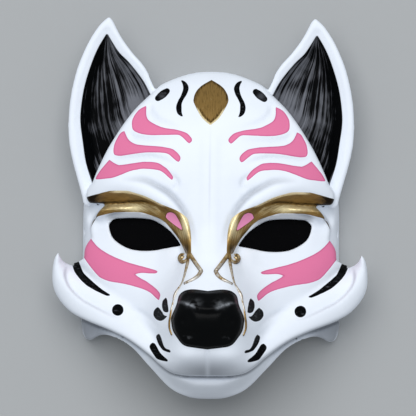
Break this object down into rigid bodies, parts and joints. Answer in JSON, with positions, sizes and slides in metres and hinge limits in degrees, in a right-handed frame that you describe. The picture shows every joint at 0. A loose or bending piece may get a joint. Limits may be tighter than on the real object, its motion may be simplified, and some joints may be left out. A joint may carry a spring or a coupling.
{
  "type": "kitsune mask",
  "caption": "Hollow fox face mask with pointed cupped ears, a long muzzle, curled cheek tufts and dark screened eyes, lying on its flat rear rim.",
  "frame": {"origin": "on the plane of the rear rim, on the mirror line, halfway between the chin and the ear tips", "axes": "+Z out of the face, +Y towards the ears, +X towards the viewer's right when the face is looked at"},
  "size_m": [0.2224, 0.268, 0.1229],
  "materials": {
    "painted_resin": "satin white paint with pink, black and brushed gold",
    "black_screen": "flat black"
  },
  "bodies": {
    "root": {"mask_shell": "painted_resin", "eye_screen_right": "black_screen", "eye_screen_left": "black_screen"}
  },
  "joints": []
}
